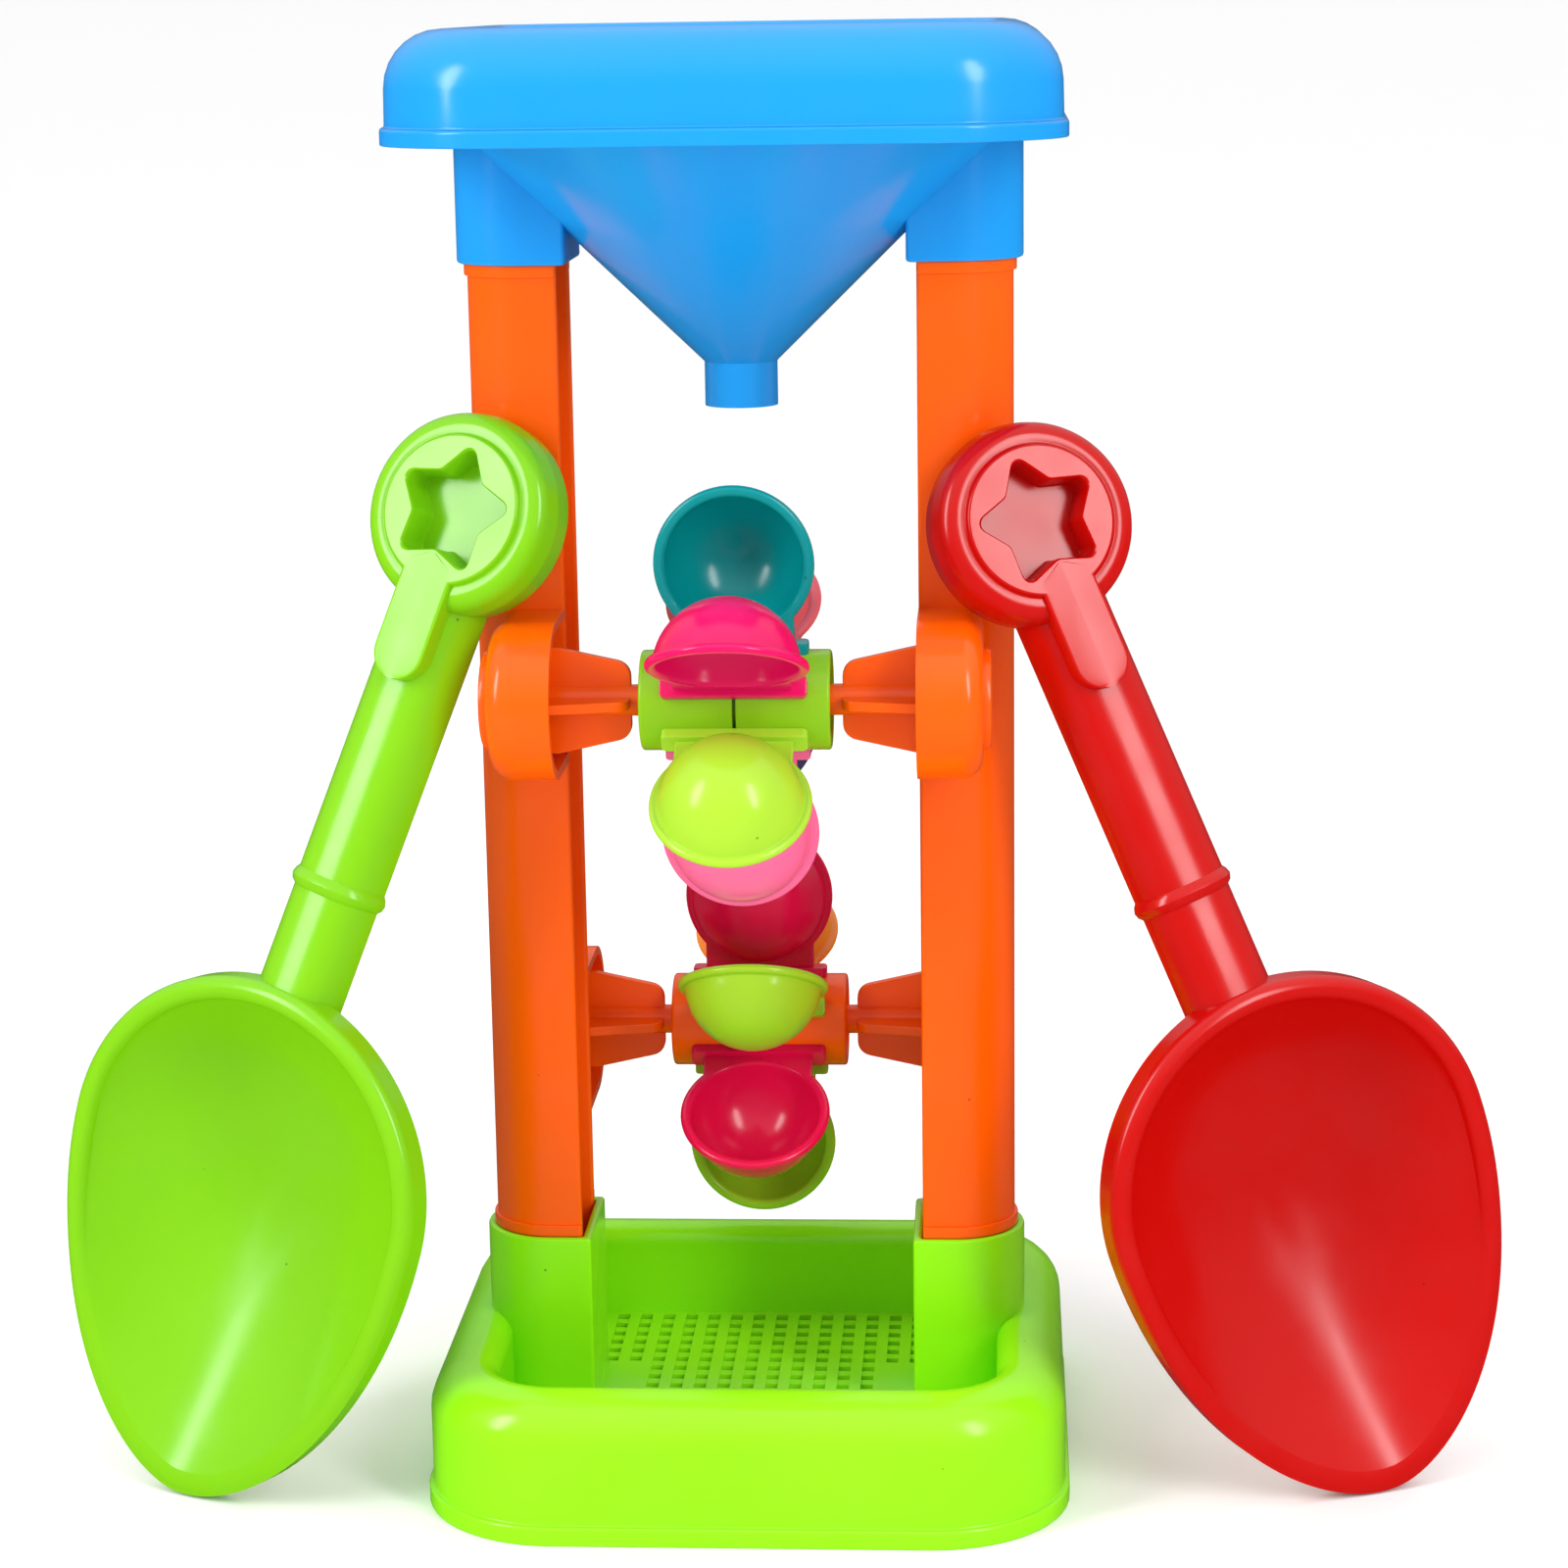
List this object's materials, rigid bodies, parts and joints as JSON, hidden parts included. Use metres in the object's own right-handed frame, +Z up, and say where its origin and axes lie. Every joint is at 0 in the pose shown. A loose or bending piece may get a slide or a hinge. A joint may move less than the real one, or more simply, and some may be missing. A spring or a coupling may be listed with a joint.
{
  "type": "sand wheel toy",
  "caption": "Toy sand wheel tower: funnel hopper above staggered cup wheels that spin between two posts on a sieve tray, with hand shovels leaning on it.",
  "frame": {"origin": "on the ground, under the middle of the whole toy's box; the tower stands 6.6 mm to the left of it", "axes": "+Z up, -Y is the front with the upper wheel, +X to the right seen from the front"},
  "size_m": [0.3182, 0.142, 0.3178],
  "materials": {
    "hopper_blue": "semi-gloss moulded polypropylene",
    "tray_green": "semi-gloss moulded polypropylene",
    "post_orange": "semi-gloss moulded polypropylene",
    "hub_lime": "semi-gloss moulded polypropylene",
    "hub_orange": "semi-gloss moulded polypropylene",
    "cup_teal": "semi-gloss moulded polypropylene",
    "cup_magenta": "semi-gloss moulded polypropylene",
    "cup_lime": "semi-gloss moulded polypropylene",
    "cup_pink": "semi-gloss moulded polypropylene",
    "cup_violet": "semi-gloss moulded polypropylene",
    "cup_salmon": "semi-gloss moulded polypropylene",
    "cup_crimson": "semi-gloss moulded polypropylene",
    "cup_green": "semi-gloss moulded polypropylene",
    "cup_yellow": "semi-gloss moulded polypropylene",
    "shovel_green": "semi-gloss moulded polypropylene",
    "shovel_red": "semi-gloss moulded polypropylene"
  },
  "bodies": {
    "frame": {"hopper": "hopper_blue", "sieve_base": "tray_green", "left_post": "post_orange", "right_post": "post_orange"},
    "upper_wheel": {"upper_hub_left": "hub_lime", "upper_hub_right": "hub_lime", "upper_cup_1": "cup_teal", "upper_cup_2": "cup_magenta", "upper_cup_3": "cup_lime", "upper_cup_4": "cup_pink", "upper_cup_5": "cup_violet", "upper_cup_6": "cup_salmon"},
    "lower_wheel": {"lower_hub_left": "hub_orange", "lower_hub_right": "hub_orange", "lower_cup_1": "cup_crimson", "lower_cup_2": "cup_green", "lower_cup_3": "cup_crimson", "lower_cup_4": "cup_green", "lower_cup_5": "cup_teal", "lower_cup_6": "cup_yellow"},
    "left_shovel": {"green_shovel": "shovel_green"},
    "right_shovel": {"red_shovel": "shovel_red"}
  },
  "joints": [
    {"name": "upper_wheel_spin", "type": "hinge", "parent": "frame", "child": "upper_wheel", "pos_m": [-0.00658, -0.0293, 0.1772], "axis": [1, 0, 0], "continuous": true},
    {"name": "lower_wheel_spin", "type": "hinge", "parent": "frame", "child": "lower_wheel", "pos_m": [-0.00658, 0.0293, 0.09], "axis": [1, 0, 0], "continuous": true},
    {"name": "left_shovel_lift", "type": "slide", "parent": "frame", "child": "left_shovel", "axis": [-0.4489, -0.7481, 0.4888], "range_m": [0, 0.06]},
    {"name": "right_shovel_lift", "type": "slide", "parent": "frame", "child": "right_shovel", "axis": [0.4489, -0.7481, 0.4888], "range_m": [0, 0.06]}
  ]
}
